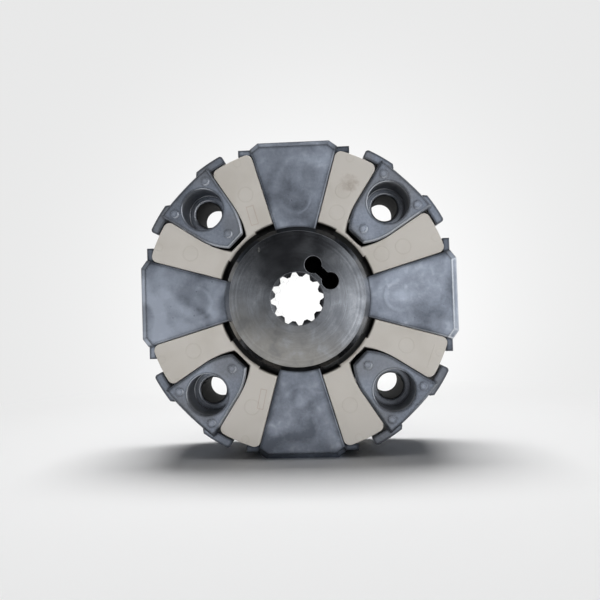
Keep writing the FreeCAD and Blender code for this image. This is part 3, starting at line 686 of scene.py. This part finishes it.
def studio_paper():
    """Lit paper near the coupling, glowing paper further off. The glow is a level at the edge plus a rise
    times e to the minus squared distance from the middle of the view."""
    paper = Wiring(bpy.data.materials.new("studio_paper"))
    place = paper.node("TexCoord", {}, {}, "Object")
    x, y, z = paper.split(place)
    away = paper.most(y + GLOW_DISTANCE, 0.1) * GLOW_WIDTH
    spot_x, spot_z = x / away, z / away
    glow = paper.math("EXPONENT", -(spot_x * spot_x + spot_z * spot_z)) * GLOW_RISE + GLOW_EDGE
    direct, mirrored, through = [
        paper.node("LightPath", {}, {}, f"Is {kind} Ray") for kind in ("Camera", "Glossy", "Transmission")
    ]
    seen = paper.most(paper.most(direct, mirrored), through)
    distance = paper.root(x * x * 0.7 + y * y)
    share = seen * paper.most(paper.rise(distance, PAPER_START, PAPER_END), paper.rise(z, 0.0, 0.05))
    lit = paper.node("BsdfDiffuse", {}, {"Color": SHEET_PAPER})
    glowing = paper.node("Emission", {}, {"Color": SHEET_TINT, "Strength": glow})
    mixed = paper.node("MixShader", {}, {0: share, 1: lit, 2: glowing})
    paper.join(paper.nodes["Material Output"].inputs["Surface"], mixed)
    return paper.owner


sheet_mesh = studio_sheet()
sheet_mesh.materials.append(studio_paper())
sheet = bpy.data.objects.new("studio_sheet", sheet_mesh)
bpy.context.collection.objects.link(sheet)


# Light: the lamp over the back throws the coupling's shadow, and a weak one over the front softens it.
# Two soft lamps at the camera's sides light the pieces only, so the shadow stays deep. Metal mirrors a
# room that is dark behind the camera, with pale walls and windows.

ROOM_LEFT = 0.7
ROOM_RIGHT = 1.5
ROOM_AMBIENT = 0.06
ROOM_SEEN = 0.84
CAMERA_SHADE = 0.03
CAMERA_SHADE_PLACE = (-0.07, 0.15)
CAMERA_SHADE_SIZE = (0.14, 0.19)
WINDOWS = (
    (0.05, 0.012, 0.05, 0.011, 1.5),
    (-0.14, 0.03, 0.05, 0.02, 0.6),
    (0.05, -0.06, 0.05, 0.04, 0.45),
)


def soft_lamp(name, place, target, size, power):
    data = bpy.data.lights.new(name, "AREA")
    data.shape = "RECTANGLE"
    data.size, data.size_y = size
    data.energy = power
    lamp = bpy.data.objects.new(name, data)
    lamp.visible_glossy = False
    lamp.location = place
    lamp.rotation_mode = "QUATERNION"
    lamp.rotation_quaternion = (Vector(target) - Vector(place)).to_track_quat("-Z", "Y")
    bpy.context.collection.objects.link(lamp)
    return lamp


soft_lamp("lamp_over_the_back", (0, 0.2, 1.1), (0, 0, -0.1), (0.85, 0.3), 13.2)
soft_lamp("lamp_over_the_front", (0, -0.25, 1.1), (0, 0, -0.1), (0.85, 0.4), 1.5)
right = soft_lamp("lamp_right", (0.8, -1.0, 0.35), (0, 0, 0), (0.6, 0.9), 7.7)
left = soft_lamp("lamp_left", (-0.8, -1.0, 0.3), (0, 0, 0), (0.6, 0.9), 4.8)
pieces = bpy.data.collections.new("pieces")
for piece in bpy.context.scene.objects:
    if piece.type == "MESH" and piece != sheet:
        pieces.objects.link(piece)
for lamp in (right, left):
    lamp.light_linking.receiver_collection = pieces


def studio_room():
    """The room beyond the sheet: walls in metal's reflections, a pale level to the camera, else low light."""
    room = Wiring(bpy.data.worlds.new("studio_room"))
    x, _, z = room.split(room.node("TexCoord", {}, {}, "Generated"))
    walls = room.rise(x, -0.3, 0.3) * (ROOM_RIGHT - ROOM_LEFT) + ROOM_LEFT
    walls = walls * (1 - room.rise(z, 0.15, 0.6) * 0.4)
    shade_x = (x - CAMERA_SHADE_PLACE[0]) / CAMERA_SHADE_SIZE[0]
    shade_z = (z - CAMERA_SHADE_PLACE[1]) / CAMERA_SHADE_SIZE[1]
    shade = room.rise(room.root(shade_x * shade_x + shade_z * shade_z), 1.5, 0.5)
    walls = walls * (1 - shade) + shade * CAMERA_SHADE
    for middle_x, middle_z, half_width, half_height, power in WINDOWS:
        across, up = (x - middle_x) / half_width, (z - middle_z) / half_height
        walls = walls + room.rise(across * across + up * up, 1.5, 0.3) * power
    mirrored = room.node("LightPath", {}, {}, "Is Glossy Ray")
    seen = room.node("LightPath", {}, {}, "Is Camera Ray")
    strength = ROOM_AMBIENT + mirrored * (walls - ROOM_AMBIENT) + seen * (ROOM_SEEN - ROOM_AMBIENT)
    background = room.nodes["Background"]
    room.join(background.inputs["Color"], (0.96, 0.98, 1.0, 1))
    room.join(background.inputs["Strength"], strength)
    return room.owner


bpy.context.scene.world = studio_room()
bpy.context.scene.view_settings.view_transform = "Standard"


# Camera: close in front of the coupling, a little to the right of its axis and turned by a degree or two.
# Its place, aim and lens are fitted to the bolt holes' mouths and far ends in the photograph.

CAMERA_PLACE = (0.01502, -0.34259, -0.00633)
CAMERA_TARGET = (0.00154, -0.025, -0.0007)
CAMERA_ROLL = -1.77
CAMERA_LENS = 30.53

camera_data = bpy.data.cameras.new("camera")
camera_data.lens = CAMERA_LENS
camera_data.sensor_width = 36
camera_data.clip_start = 0.01
camera = bpy.data.objects.new("camera", camera_data)
camera.location = CAMERA_PLACE
camera.rotation_mode = "QUATERNION"
aim = (Vector(CAMERA_TARGET) - Vector(CAMERA_PLACE)).to_track_quat("-Z", "Y")
camera.rotation_quaternion = aim @ Quaternion((0, 0, 1), math.radians(CAMERA_ROLL))
bpy.context.collection.objects.link(camera)
bpy.context.scene.camera = camera
